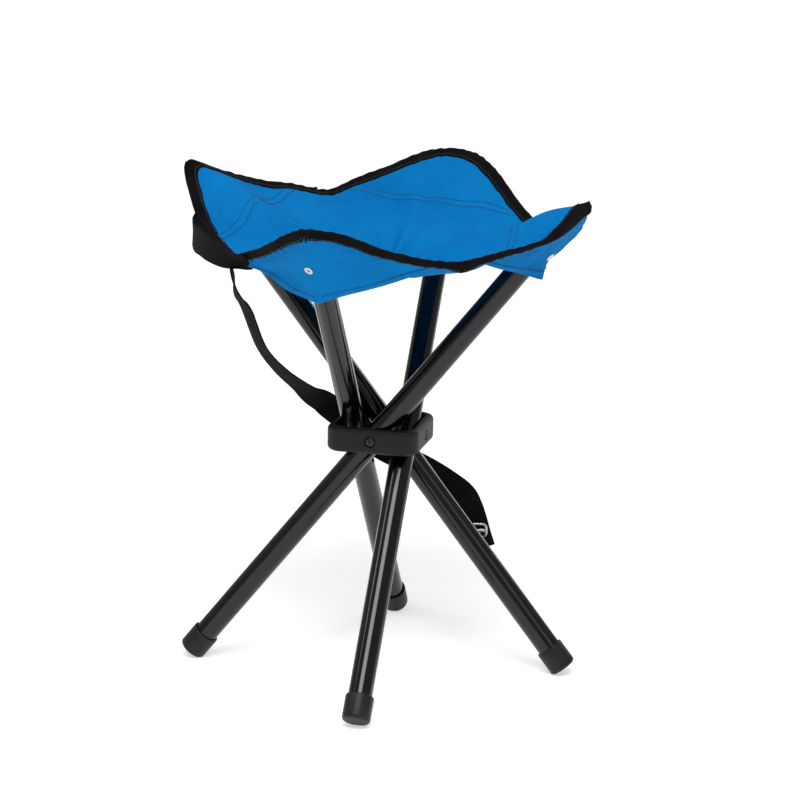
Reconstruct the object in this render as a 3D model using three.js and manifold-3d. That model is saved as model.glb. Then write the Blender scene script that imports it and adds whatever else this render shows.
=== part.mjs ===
// Folding four-leg camp stool with a fabric seat.
// Millimetres, +Z up, the floor is z = 0 and the hub's axis is the Z axis.
// The frame has four-fold symmetry: one leg is described once, with its top leaning towards +X,
// and is then placed four times, 90 degrees apart. The seat's four edges sag differently.
import * as THREE from 'three';
import { mergeVertices } from 'three/addons/utils/BufferGeometryUtils.js';
import Module from 'manifold-3d';

// ---------------------------------------------------------------- driving dimensions
const LEG_TILT = THREE.MathUtils.degToRad(38.35); // from vertical, stool open
const PIVOT_OFFSET = 24.5; // leg centre line to hub axis
const TUBE_R = 11;
const TUBE_WALL = 1;
const LEG_BELOW_PIVOT = 285; // pivot to the flat end of the foot cap
const TUBE_ABOVE_PIVOT = 258;
const GAP = 0.4; // clearance between touching pieces

const HUB_HALF = 43.5;
const HUB_HALF_HEIGHT = 12;
const HUB_CORNER_R = 15;
const HUB_INNER_HALF = 37;
const HUB_INNER_R = 10;
const HUB_EDGE = 2.5;

const CAP_R = 13;
const CAP_LENGTH = 24;
const CAP_FLOOR = 3;
const CAP_EDGE_R = 3;
const CAP_FLAT = 0.8; // depth of the worn flat that beds on the floor

const SCREW_R = 2.5;
const SCREW_HEAD_R = 4.6;
const SCREW_HEAD_T = 2.6;
const SCREW_RECESS_R = 5.2;
const SCREW_RECESS = 3;
const HOLE_CLEARANCE = 0.35;
const NUT_R = 4.4;
const NUT_T = 4;
const WASHER_R = 7;

const RIVET_ALONG = 242; // pivot to rivet, along the leg
const RIVET_TURN = THREE.MathUtils.degToRad(-16); // about the leg, from its outermost line
const RIVET_FLANGE_R = 4.2;
const RIVET_FLANGE_T = 1.2;
const RIVET_SHANK_R = 2.2;
const RIVET_BORE_R = 1.2;
const RIVET_REACH = 5;

const POCKET_R = 13.4;
const POCKET_FROM = 205;
const POCKET_TO = 263;
const PLUG_DEPTH = 18;
const PLUG_RIM_T = 1.4;
const PLUG_DOME = 1.6;

const DIAGONAL_TURN = THREE.MathUtils.degToRad(-7.4); // ear direction from the leg's own plane
const EAR_REACH = 190;
const EAR_HEIGHT = 235; // all seat heights are above the pivots
// The middle of the edge from each ear to the next one counter-clockwise: reach and height.
const EDGES = { right: [157, 189], back: [136, 205], left: [152, 176], front: [170, 192] };
const SEAT_CENTRE_HEIGHT = 156;
const SEAT_BOTTOM_ROUND = 0.15;
const EAR_TIP_ROUND = 0.15;
const TIP_FROM = 0.95; // the ear's tip starts here, as a share of the ear's reach
const CLOTH_T = 1.2;
const PANEL_SHIFT = 1.3; // each panel stands this far out from its neighbours
const EAR_SHIFT = 3.2;
const TAPE_OUT = 3; // beyond the ear
const TAPE_WIDTH = 12;
const TAPE_T = 2.4;

const STRAP_WIDTH = 25;
const STRAP_T = 1.6;

// The pivots stand this high when the caps' rounded edges bed on the floor.
const PIVOT_HEIGHT = (LEG_BELOW_PIVOT - CAP_EDGE_R) * Math.cos(LEG_TILT)
  + (CAP_R - CAP_EDGE_R) * Math.sin(LEG_TILT) + CAP_EDGE_R - CAP_FLAT;

const SIDES = ['right', 'back', 'left', 'front'];
const QUARTER_TURN = Math.PI / 2;

// ---------------------------------------------------------------- materials
const material = (color, roughness, metalness) =>
  new THREE.MeshStandardMaterial({ color, roughness, metalness });

const MATERIALS = {
  tube: () => material(0x0b0b0c, 0.18, 0.1),
  plastic: () => material(0x1b1b1c, 0.62, 0),
  rubber: () => material(0x151516, 0.7, 0),
  screw: () => material(0x16161a, 0.4, 0.8),
  steel: () => material(0xc9ccd0, 0.28, 1),
  cloth: () => material(0x0878cc, 0.85, 0),
  webbing: () => material(0x101011, 0.9, 0),
};

// ---------------------------------------------------------------- solids and cuts
const wasm = await Module();
wasm.setup();

function toSolid(geometry) {
  const plain = geometry.clone();
  plain.deleteAttribute('normal');
  plain.deleteAttribute('uv');
  const merged = mergeVertices(plain, 1e-4);
  return new wasm.Manifold(new wasm.Mesh({
    numProp: 3,
    vertProperties: new Float32Array(merged.attributes.position.array),
    triVerts: new Uint32Array(merged.index.array),
  }));
}

function toGeometry(solid) {
  const mesh = solid.getMesh();
  const geometry = new THREE.BufferGeometry();
  geometry.setAttribute('position', new THREE.BufferAttribute(mesh.vertProperties, 3));
  geometry.setIndex(new THREE.BufferAttribute(mesh.triVerts, 1));
  geometry.computeVertexNormals();
  return geometry;
}

function cut(body, ...tools) {
  return toGeometry(tools.reduce((rest, tool) => rest.subtract(toSolid(tool)), toSolid(body)));
}

// A turned piece about the Z axis: profile is a list of [radius, z], counter-clockwise.
function turned(profile, segments = 16) {
  const points = profile.map(([radius, z]) => new THREE.Vector2(radius, z));
  return new THREE.LatheGeometry(points, segments).rotateX(QUARTER_TURN);
}

function rod(radius, from, to, segments = 12) {
  return turned([[0, from], [radius, from], [radius, to], [0, to]], segments);
}

function ring(inner, outer, from, to, segments = 12) {
  return turned([[inner, from], [outer, from], [outer, to], [inner, to], [inner, from]], segments);
}

// Turns a piece made along +Z so that it points along -Y, away from the hub.
const facingOut = (geometry) => geometry.rotateX(QUARTER_TURN);

// A closed skin round a grid of points: surface(u, v) with u and v from 0 to 1.
function skin(surface, across, along, thickness) {
  const normalAt = (u, v) => {
    const step = 1e-3;
    const du = surface(Math.min(u + step, 1), v).sub(surface(Math.max(u - step, 0), v));
    const dv = surface(u, Math.min(v + step, 1)).sub(surface(u, Math.max(v - step, 0)));
    return du.cross(dv).normalize();
  };
  const positions = [];
  const row = along + 1;
  const layer = (across + 1) * row;
  for (const side of [1, -1]) {
    for (let i = 0; i <= across; i += 1) {
      for (let j = 0; j <= along; j += 1) {
        const point = surface(i / across, j / along);
        point.addScaledVector(normalAt(i / across, j / along), (side * thickness) / 2);
        positions.push(point.x, point.y, point.z);
      }
    }
  }
  const index = [];
  const quad = (a, b, c, d) => index.push(a, b, c, a, c, d);
  for (let i = 0; i < across; i += 1) {
    for (let j = 0; j < along; j += 1) {
      const a = i * row + j;
      quad(a, a + row, a + row + 1, a + 1);
      quad(layer + a, layer + a + 1, layer + a + row + 1, layer + a + row);
    }
  }
  for (let i = 0; i < across; i += 1) {
    const near = i * row;
    const far = near + along;
    quad(near, near + layer, near + row + layer, near + row);
    quad(far, far + row, far + row + layer, far + layer);
  }
  for (let j = 0; j < along; j += 1) {
    const last = across * row + j;
    quad(j, j + 1, j + 1 + layer, j + layer);
    quad(last, last + layer, last + 1 + layer, last + 1);
  }
  const geometry = new THREE.BufferGeometry();
  geometry.setAttribute('position', new THREE.Float32BufferAttribute(positions, 3));
  geometry.setIndex(index);
  geometry.computeVertexNormals();
  return geometry;
}

// ---------------------------------------------------------------- hub
function roundedSquare(half, radius) {
  const shape = new THREE.Shape();
  const flat = half - radius;
  shape.moveTo(-flat, -half);
  shape.lineTo(flat, -half);
  shape.absarc(flat, -flat, radius, -QUARTER_TURN, 0);
  shape.lineTo(half, flat);
  shape.absarc(flat, flat, radius, 0, QUARTER_TURN);
  shape.lineTo(-flat, half);
  shape.absarc(-flat, flat, radius, QUARTER_TURN, 2 * QUARTER_TURN);
  shape.lineTo(-half, -flat);
  shape.absarc(-flat, -flat, radius, 2 * QUARTER_TURN, 3 * QUARTER_TURN);
  return shape;
}

function roundedPrism(half, radius, halfHeight, edge) {
  const depth = 2 * (halfHeight - edge);
  return new THREE.ExtrudeGeometry(roundedSquare(half - edge, radius - edge), {
    depth,
    curveSegments: 5,
    bevelEnabled: edge > 0,
    bevelThickness: edge,
    bevelSize: edge,
    bevelSegments: 2,
  }).translate(0, 0, -depth / 2);
}

function hub() {
  const outside = roundedPrism(HUB_HALF, HUB_CORNER_R, HUB_HALF_HEIGHT, HUB_EDGE);
  const inside = roundedPrism(HUB_INNER_HALF, HUB_INNER_R, HUB_HALF_HEIGHT + 2, 0);
  const cuts = [inside];
  SIDES.forEach((side, turn) => {
    const hole = rod(SCREW_R + HOLE_CLEARANCE, HUB_INNER_HALF - 2, HUB_HALF + 2);
    const recess = rod(SCREW_RECESS_R, HUB_HALF - SCREW_RECESS, HUB_HALF + 2);
    for (const drill of [hole, recess]) {
      cuts.push(facingOut(drill).rotateZ(turn * QUARTER_TURN));
    }
  });
  return cut(outside, ...cuts).translate(0, 0, PIVOT_HEIGHT);
}

// ---------------------------------------------------------------- one leg, along its own Z
function legTube() {
  const bottom = -LEG_BELOW_PIVOT + CAP_FLOOR + GAP;
  const tube = ring(TUBE_R - TUBE_WALL, TUBE_R, bottom, TUBE_ABOVE_PIVOT, 32);
  const pivotHole = facingOut(rod(SCREW_R + HOLE_CLEARANCE, -2 * TUBE_R, 2 * TUBE_R));
  const rivetHole = rod(RIVET_SHANK_R + HOLE_CLEARANCE, 0, 2 * TUBE_R)
    .rotateY(QUARTER_TURN).rotateZ(RIVET_TURN).translate(0, 0, RIVET_ALONG);
  return cut(tube, pivotHole, rivetHole);
}

// The cap's lowest edge is cut level, so that it beds on the floor.
function footCap(legToFloor) {
  const bottom = -LEG_BELOW_PIVOT;
  const inner = TUBE_R + GAP;
  const profile = [[0, bottom], [CAP_R - CAP_EDGE_R, bottom]];
  for (const share of [1 / 3, 2 / 3, 1]) {
    const angle = share * QUARTER_TURN;
    profile.push([
      CAP_R - CAP_EDGE_R * (1 - Math.sin(angle)),
      bottom + CAP_EDGE_R * (1 - Math.cos(angle)),
    ]);
  }
  profile.push(
    [CAP_R, bottom + CAP_LENGTH - 1],
    [CAP_R - 1, bottom + CAP_LENGTH],
    [inner, bottom + CAP_LENGTH],
    [inner, bottom + CAP_FLOOR],
    [0, bottom + CAP_FLOOR],
  );
  const cap = turned(profile, 24);
  const reach = 100;
  const ground = new THREE.BoxGeometry(reach, reach, reach);
  const footX = -LEG_BELOW_PIVOT * Math.sin(LEG_TILT);
  ground.translate(footX, -PIVOT_OFFSET, -reach / 2);
  ground.applyMatrix4(legToFloor.clone().invert());
  return cut(cap, ground);
}

function topPlug() {
  const end = TUBE_ABOVE_PIVOT + GAP;
  const inner = TUBE_R - TUBE_WALL - GAP;
  return turned([
    [inner - 1.5, end - PLUG_DEPTH + 8],
    [inner, end - PLUG_DEPTH + 8],
    [inner, end],
    [TUBE_R, end],
    [TUBE_R, end + PLUG_RIM_T],
    [TUBE_R * 0.7, end + PLUG_RIM_T + PLUG_DOME * 0.7],
    [0, end + PLUG_RIM_T + PLUG_DOME],
    [0, end],
    [inner - 1.5, end],
    [inner - 1.5, end - PLUG_DEPTH + 8],
  ]);
}

// The snug part of the corner pocket: a blind sleeve over the end of the tube.
function pocket() {
  const inner = TUBE_R + GAP;
  const innerEnd = POCKET_TO - CLOTH_T;
  const sleeve = turned([
    [inner, POCKET_FROM],
    [POCKET_R, POCKET_FROM],
    [POCKET_R, POCKET_TO - 2],
    [POCKET_R - 2, POCKET_TO],
    [0, POCKET_TO],
    [0, innerEnd],
    [inner, innerEnd],
    [inner, POCKET_FROM],
  ]);
  const rivetHole = rod(RIVET_SHANK_R + HOLE_CLEARANCE, 0, 2 * POCKET_R)
    .rotateY(QUARTER_TURN).rotateZ(RIVET_TURN).translate(0, 0, RIVET_ALONG);
  return cut(sleeve, rivetHole);
}

// A tubular rivet through the pocket and the outer wall of the tube.
function rivet() {
  const seat = POCKET_R + GAP;
  return turned([
    [RIVET_BORE_R, seat - RIVET_REACH],
    [RIVET_SHANK_R, seat - RIVET_REACH],
    [RIVET_SHANK_R, seat],
    [RIVET_FLANGE_R, seat],
    [RIVET_FLANGE_R, seat + RIVET_FLANGE_T / 2],
    [RIVET_FLANGE_R * 0.75, seat + RIVET_FLANGE_T],
    [RIVET_BORE_R, seat + RIVET_FLANGE_T * 0.8],
    [RIVET_BORE_R, seat - RIVET_REACH],
  ]).rotateY(QUARTER_TURN).rotateZ(RIVET_TURN).translate(0, 0, RIVET_ALONG);
}

// ---------------------------------------------------------------- pivot, along -Y
function pivotScrew() {
  const headInner = HUB_HALF - SCREW_RECESS + GAP;
  const tip = PIVOT_OFFSET - TUBE_R - GAP - NUT_T - 0.5;
  const screw = turned([
    [0, tip],
    [SCREW_R, tip],
    [SCREW_R, headInner],
    [SCREW_HEAD_R, headInner],
    [SCREW_HEAD_R, headInner + SCREW_HEAD_T * 0.5],
    [SCREW_HEAD_R * 0.8, headInner + SCREW_HEAD_T * 0.9],
    [0, headInner + SCREW_HEAD_T],
  ]);
  const slotDepth = 1.4;
  const slots = [[5, 1.1], [1.1, 5]].map(([width, height]) =>
    new THREE.BoxGeometry(width, height, 2 * slotDepth)
      .translate(0, 0, headInner + SCREW_HEAD_T));
  return facingOut(cut(screw, ...slots));
}

function pivotNut() {
  const from = PIVOT_OFFSET - TUBE_R - GAP - NUT_T;
  return facingOut(ring(SCREW_R + GAP, NUT_R, from, from + NUT_T, 6));
}

function spacerWasher() {
  const from = PIVOT_OFFSET + TUBE_R + GAP / 2;
  return facingOut(ring(SCREW_R + GAP, WASHER_R, from, HUB_INNER_HALF - GAP / 2));
}

// ---------------------------------------------------------------- seat
// One half of an ear's quarter of the seat. direction is +1 towards the next leg
// counter-clockwise and -1 towards the one before; share runs along the rim from the ear's
// tip (0) to the middle of the edge (1); reach runs from the centre (0) to the rim (1).
function seatHalf(side, direction) {
  const turn = SIDES.indexOf(side);
  const edge = direction > 0 ? side : SIDES[(turn + SIDES.length - 1) % SIDES.length];
  const [midReach, midHeight] = EDGES[edge];
  const midAlong = midReach * Math.SQRT1_2;
  const rounded = (value, radius) => Math.sqrt(value * value + radius * radius) - radius;

  // In plan: [along the ear's diagonal, square to it].
  function rimPlan(share) {
    const pulledIn = rounded(share, EAR_TIP_ROUND) / rounded(1, EAR_TIP_ROUND);
    return [EAR_REACH - (EAR_REACH - midAlong) * pulledIn, midAlong * share];
  }

  const rimHeight = (share) =>
    midHeight + ((EAR_HEIGHT - midHeight) * (1 + Math.cos(Math.PI * share))) / 2;

  function point(share, reach) {
    const [along, square] = rimPlan(share);
    const climb = rounded(reach, SEAT_BOTTOM_ROUND) / rounded(1, SEAT_BOTTOM_ROUND);
    const height = SEAT_CENTRE_HEIGHT + (rimHeight(share) - SEAT_CENTRE_HEIGHT) * climb;
    return new THREE.Vector3(along * reach, direction * square * reach, height);
  }

  // The ear's tip is cut off square to the diagonal: its reach at each share of the rim.
  const tipReach = (share) => Math.min((EAR_REACH * TIP_FROM) / rimPlan(share)[0], 1);

  // The share of the rim where that cut runs out.
  function tipEnd() {
    let share = 0;
    while (tipReach(share) < 1) share += 0.005;
    return share;
  }

  return { point, tipReach, tipEnd };
}

function seatPanel(side, direction) {
  const half = seatHalf(side, direction);
  const shift = new THREE.Vector3(PANEL_SHIFT, direction * PANEL_SHIFT * Math.tan(Math.PI / 8), 0);
  const start = 0.03;
  const surface = (u, v) => {
    const reach = start + (half.tipReach(u) - start) * v;
    return half.point(u, reach).add(shift);
  };
  const flipped = (u, v) => surface(1 - u, v);
  return skin(direction > 0 ? flipped : surface, 8, 6, CLOTH_T);
}

function earTip(side) {
  const halves = [seatHalf(side, -1), seatHalf(side, 1)];
  const surface = (u, v) => {
    const half = halves[u < 0.5 ? 0 : 1];
    const share = half.tipEnd() * 0.95 * Math.abs(2 * u - 1);
    const start = half.tipReach(share);
    return half.point(share, start + (1 - start) * v).add(new THREE.Vector3(EAR_SHIFT, 0, 0));
  };
  return skin((u, v) => surface(1 - u, v), 8, 2, CLOTH_T);
}

// The binding tape stands just outside the rim, from the tip to the middle of the edge.
function edgeTape(side, direction) {
  const half = seatHalf(side, direction);
  const outwards = TAPE_OUT + EAR_SHIFT;
  const tapeDrop = TAPE_WIDTH * 0.5;
  const surface = (u, v) => {
    const share = 0.012 + 0.976 * u;
    const rim = half.point(share, 1);
    const out = new THREE.Vector3(rim.x, rim.y, 0).normalize();
    rim.addScaledVector(out, outwards);
    rim.z += tapeDrop * (1 - 2 * v);
    return rim;
  };
  const flipped = (u, v) => surface(1 - u, v);
  return skin(direction > 0 ? surface : flipped, 12, 1, TAPE_T);
}

// ---------------------------------------------------------------- webbing
// A flat strap through hand-placed points: [x, y, height above the pivots, width direction].
function webbing(route, thickness = STRAP_T) {
  const curve = new THREE.CatmullRomCurve3(route.map(([x, y, z]) => new THREE.Vector3(x, y, z)));
  const widths = new THREE.CatmullRomCurve3(
    route.map(([, , , x, y, z]) => new THREE.Vector3(x, y, z)));
  const surface = (u, v) => {
    const point = curve.getPoint(u);
    const tangent = curve.getTangent(u);
    const width = widths.getPoint(u);
    width.addScaledVector(tangent, -width.dot(tangent)).normalize();
    return point.addScaledVector(width, (v - 0.5) * STRAP_WIDTH);
  };
  return skin(surface, 3 * (route.length - 1), 1, thickness);
}

// Shoulder strap: from the middle of the left-front edge down behind the front leg.
const SHOULDER_UPPER = [
  [-116, -105, 167, 0.25, -0.97, 0],
  [-113.5, -104, 157, 0.25, -0.97, 0],
  [-110.5, -100, 142, 0.28, -0.95, 0.1],
  [-105, -92, 128, 0.3, -0.93, 0.18],
  [-98, -67, 89, 0.25, -0.92, 0.3],
  [-86, -43, 62, 0.1, -0.85, 0.5],
  [-70, -14, 38, -0.05, -0.8, 0.6],
  [-58, 12, 21, -0.05, -0.72, 0.7],
];
// Then behind the hub, over the front leg's lower half and behind the left leg's.
const SHOULDER_LOWER = [
  [-57.5, 13.5, 19.5, -0.05, -0.72, 0.7],
  [-48, 35, 4, 0.35, 0, 0.8],
  [-34, 50, -13, 0.45, 0.25, 0.84],
  [-14, 56, -29, 0.42, 0.25, 0.86],
  [10, 57, -40, 0.4, 0.2, 0.88],
  [34, 56, -50, 0.4, 0.2, 0.88],
  [54, 54, -60, 0.42, 0.2, 0.86],
  [69, 53, -70, 0.6, 0.2, 0.75],
  [76, 52, -81, 0.85, 0.2, 0.45],
  [81, 51, -94, 0.9, 0.2, 0.2],
  [85, 50, -106, 0.9, 0.2, 0.2],
  [90, 49, -120, 0.9, 0.2, 0.2],
];
// Carrying handle: round the outside of the left ear, from edge middle to edge middle.
const HANDLE_FRONT = [
  [-127, -101, 181, 0, 0, 1],
  [-141, -90, 180, 0, 0, 1],
  [-154, -73, 181, 0, 0, 1],
  [-167, -49, 182, 0, 0, 1],
  [-177, -22, 184, 0, 0, 1],
  [-182, 8, 186, 0, 0, 1],
];
const HANDLE_BACK = [
  [-182, 10, 186, 0, 0, 1],
  [-180, 38, 186, 0, 0, 1],
  [-170, 66, 187, 0, 0, 1],
  [-150, 90, 188, 0, 0, 1],
  [-121, 105, 191, 0, 0, 1],
  [-93, 114, 196, 0, 0, 1],
];
const SLIDER_AT = [80, 46.5, -102];
const SLIDER_SIZE = [30, 15];
const SLIDER_BAR = 2.4;

// A three-bar slider: an outer frame with a bar across its middle.
function slider() {
  const [width, height] = SLIDER_SIZE;
  const outline = new THREE.Shape();
  outline.moveTo(-width / 2, -height / 2);
  outline.lineTo(width / 2, -height / 2);
  outline.lineTo(width / 2, height / 2);
  outline.lineTo(-width / 2, height / 2);
  const slotWidth = width - 2 * SLIDER_BAR;
  const slotHeight = (height - 3 * SLIDER_BAR) / 2;
  for (const side of [-1, 1]) {
    const middle = (side * (slotHeight + SLIDER_BAR)) / 2;
    const slot = new THREE.Path();
    slot.moveTo(-slotWidth / 2, middle - slotHeight / 2);
    slot.lineTo(-slotWidth / 2, middle + slotHeight / 2);
    slot.lineTo(slotWidth / 2, middle + slotHeight / 2);
    slot.lineTo(slotWidth / 2, middle - slotHeight / 2);
    outline.holes.push(slot);
  }
  const frame = new THREE.ExtrudeGeometry(outline, { depth: SLIDER_BAR, bevelEnabled: false });
  return frame.rotateX(QUARTER_TURN).rotateZ(0.2).translate(...SLIDER_AT);
}

// ---------------------------------------------------------------- assembly
const stool = new THREE.Group();

function add(parent, name, geometry, look) {
  const mesh = new THREE.Mesh(geometry, MATERIALS[look]());
  mesh.name = name;
  parent.add(mesh);
}

add(stool, 'hub', hub(), 'plastic');

SIDES.forEach((side, turn) => {
  const quarter = new THREE.Group();
  quarter.rotation.z = turn * QUARTER_TURN;
  stool.add(quarter);

  const leg = new THREE.Group();
  leg.position.set(0, -PIVOT_OFFSET, PIVOT_HEIGHT);
  leg.rotation.y = LEG_TILT;
  leg.updateMatrix();
  quarter.add(leg);
  add(leg, `leg_tube_${side}`, legTube(), 'tube');
  add(leg, `foot_cap_${side}`, footCap(leg.matrix), 'rubber');
  add(leg, `top_plug_${side}`, topPlug(), 'plastic');
  add(leg, `pocket_${side}`, pocket(), 'cloth');
  add(leg, `rivet_${side}`, rivet(), 'steel');

  const pivot = new THREE.Group();
  pivot.position.z = PIVOT_HEIGHT;
  quarter.add(pivot);
  add(pivot, `pivot_screw_${side}`, pivotScrew(), 'screw');
  add(pivot, `pivot_nut_${side}`, pivotNut(), 'screw');
  add(pivot, `spacer_washer_${side}`, spacerWasher(), 'plastic');

  const seat = new THREE.Group();
  seat.position.z = PIVOT_HEIGHT;
  seat.rotation.z = DIAGONAL_TURN;
  quarter.add(seat);
  const next = SIDES[(turn + 1) % SIDES.length];
  const previous = SIDES[(turn + SIDES.length - 1) % SIDES.length];
  add(seat, `ear_tip_${side}`, earTip(side), 'cloth');
  for (const [towards, name] of [[1, next], [-1, previous]]) {
    add(seat, `seat_${side}_${name}`, seatPanel(side, towards), 'cloth');
    add(seat, `edge_tape_${side}_${name}`, edgeTape(side, towards), 'webbing');
  }
});

const straps = new THREE.Group();
straps.position.z = PIVOT_HEIGHT;
stool.add(straps);
add(straps, 'shoulder_strap_upper', webbing(SHOULDER_UPPER), 'webbing');
add(straps, 'shoulder_strap_lower', webbing(SHOULDER_LOWER), 'webbing');
add(straps, 'handle_strap_front', webbing(HANDLE_FRONT), 'webbing');
add(straps, 'handle_strap_back', webbing(HANDLE_BACK), 'webbing');
add(straps, 'strap_slider', slider(), 'steel');

export default stool;
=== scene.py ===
import math

import bpy
import numpy as np
from mathutils import Matrix, Vector


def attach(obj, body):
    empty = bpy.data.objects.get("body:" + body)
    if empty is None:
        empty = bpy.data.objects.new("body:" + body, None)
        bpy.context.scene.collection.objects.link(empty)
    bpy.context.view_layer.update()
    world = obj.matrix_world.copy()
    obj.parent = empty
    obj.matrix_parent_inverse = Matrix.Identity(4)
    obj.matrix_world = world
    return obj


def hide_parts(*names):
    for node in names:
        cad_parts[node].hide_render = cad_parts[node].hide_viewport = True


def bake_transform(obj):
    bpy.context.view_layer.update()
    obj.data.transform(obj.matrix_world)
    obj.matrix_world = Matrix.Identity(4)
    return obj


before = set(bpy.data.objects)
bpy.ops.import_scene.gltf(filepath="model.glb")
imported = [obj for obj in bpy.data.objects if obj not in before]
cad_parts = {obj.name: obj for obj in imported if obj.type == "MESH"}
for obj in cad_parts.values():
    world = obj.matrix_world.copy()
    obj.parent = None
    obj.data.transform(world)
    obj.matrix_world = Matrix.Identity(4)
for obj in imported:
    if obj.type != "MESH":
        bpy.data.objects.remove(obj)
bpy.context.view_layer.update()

# ---- sizes, in millimetres, as in the CAD source
MM = 0.001
LEG_TILT = math.radians(38.35)
PIVOT_OFFSET = 24.5
PIVOT_HEIGHT = 229.559
TUBE_R = 11.0
TUBE_WALL = 1.0
LEG_BELOW_PIVOT = 285.0
TUBE_ABOVE_PIVOT = 258.0
CAP_R = 13.0
CAP_LENGTH = 24.0
CAP_FLOOR = 3.0
CAP_EDGE_R = 3.0
GAP = 0.4
HUB_HALF = 43.5
HUB_HALF_HEIGHT = 12.0
HUB_CORNER_R = 15.0
HUB_INNER_HALF = 37.0
HUB_INNER_R = 10.0
HUB_FILLET = 4.5
SCREW_R = 2.5
SCREW_HEAD_R = 4.6
SCREW_HEAD_T = 2.6
SCREW_RECESS_R = 5.2
SCREW_RECESS = 3.0
RIVET_ALONG = 242.0
RIVET_TURN = math.radians(-16)  # about the leg, from its outermost line
RIVET_REACH = 5.0
POCKET_R = 13.4
STRAP_WIDTH = 25.0
STRAP_T = 1.5
HINGE = (178.997, -23.248, 230.467)  # the ear's tip in its leg's frame, above the pivots

SIDES = ["right", "back", "left", "front"]


def neighbour(side, step):
    return SIDES[(SIDES.index(side) + step) % 4]


def spin(points, angle):
    """Points turned about the upright line through the hub's middle."""
    c, s = math.cos(angle), math.sin(angle)
    x, y, z = np.moveaxis(np.asarray(points, float), -1, 0)
    return np.stack([c * x - s * y, s * x + c * y, z], -1)


def turned(side, points):
    """Points of the right-hand leg's quarter, turned to another side."""
    return spin(points, SIDES.index(side) * math.pi / 2)


def above_pivots(points):
    """Row-frame metres from millimetres above the pivots."""
    return (np.asarray(points, float) + [0, 0, PIVOT_HEIGHT]) * MM


def from_leg(side, points):
    """Points beside a leg (x outwards, y sideways, z up the tube from its pivot) to above the pivots."""
    x, y, z = np.moveaxis(np.asarray(points, float), -1, 0)
    c, s = math.cos(LEG_TILT), math.sin(LEG_TILT)
    return turned(side, np.stack([c * x + s * z, y - PIVOT_OFFSET, c * z - s * x], -1))


def to_leg(side, points):
    """The inverse of from_leg."""
    x, y, z = np.moveaxis(spin(points, -SIDES.index(side) * math.pi / 2), -1, 0)
    c, s = math.cos(LEG_TILT), math.sin(LEG_TILT)
    return np.stack([c * x - s * z, y + PIVOT_OFFSET, s * x + c * z], -1)


def unit(v):
    v = np.asarray(v, float)
    return v / np.maximum(np.linalg.norm(v, axis=-1, keepdims=True), 1e-9)


def run_along(line):
    """How far along a line each of its points is."""
    return np.concatenate([[0], np.cumsum(np.linalg.norm(np.diff(line, axis=0), axis=1))])


def catmull_rom(a, b, c, d, t):
    """The point a share t of the way from b to c, on the smooth curve through all four."""
    square, cube = 2 * a - 5 * b + 4 * c - d, 3 * b - a - 3 * c + d
    return 0.5 * (2 * b + (c - a) * t + square * t * t + cube * t ** 3)


# ---- camera, light and floor
def make_camera():
    azimuth, elevation, roll = math.radians(13.25), math.radians(13.70), 0.0200
    distance, right_by, up_by = 2733, 17.39, 29.64
    back = np.array([math.sin(azimuth) * math.cos(elevation), -math.cos(azimuth) * math.cos(elevation),
                     math.sin(elevation)])
    right = np.array([math.cos(azimuth), math.sin(azimuth), 0])
    up = np.cross(back, right)
    rolled_right = math.cos(roll) * right + math.sin(roll) * up
    rolled_up = math.cos(roll) * up - math.sin(roll) * right
    place = above_pivots(back * distance + right * right_by + up * up_by)
    data = bpy.data.cameras.new("camera")
    data.sensor_width = 36
    data.lens = 131.3
    data.clip_end = 50
    camera = bpy.data.objects.new("camera", data)
    bpy.context.scene.collection.objects.link(camera)
    axes = np.eye(4)
    axes[:3, 0], axes[:3, 1], axes[:3, 2], axes[:3, 3] = rolled_right, rolled_up, back, place
    camera.matrix_world = Matrix(axes.tolist())
    bpy.context.scene.camera = camera


def area_light(name, place, size, power):
    """A rectangular soft box that faces the stool's middle."""
    data = bpy.data.lights.new(name, "AREA")
    data.shape = "RECTANGLE"
    data.size, data.size_y = size
    data.energy = power
    light = bpy.data.objects.new(name, data)
    light.location = place
    aim = Vector((0, 0, 0.25)) - Vector(place)
    light.rotation_euler = aim.to_track_quat("-Z", "Y").to_euler()
    bpy.context.scene.collection.objects.link(light)


def make_studio():
    """A dim white surround and four soft boxes; the table has a glow of its own."""
    bpy.context.scene.view_settings.view_transform = "Standard"
    world = bpy.data.worlds.new("studio")
    bpy.context.scene.world = world
    world.use_nodes = True
    background = world.node_tree.nodes["Background"]
    background.inputs["Color"].default_value = (1.0, 1.0, 1.0, 1)
    background.inputs["Strength"].default_value = 0.36
    area_light("key", (0.2, -1.1, 2.0), (1.2, 1.1), 33)
    area_light("side", (-1.6, -0.6, 1.95), (0.4, 1.0), 5)
    area_light("fill", (1.9, -1.2, 0.9), (0.9, 1.2), 3)
    area_light("back", (0.9, 1.9, 1.2), (0.3, 1.6), 8)


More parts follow.
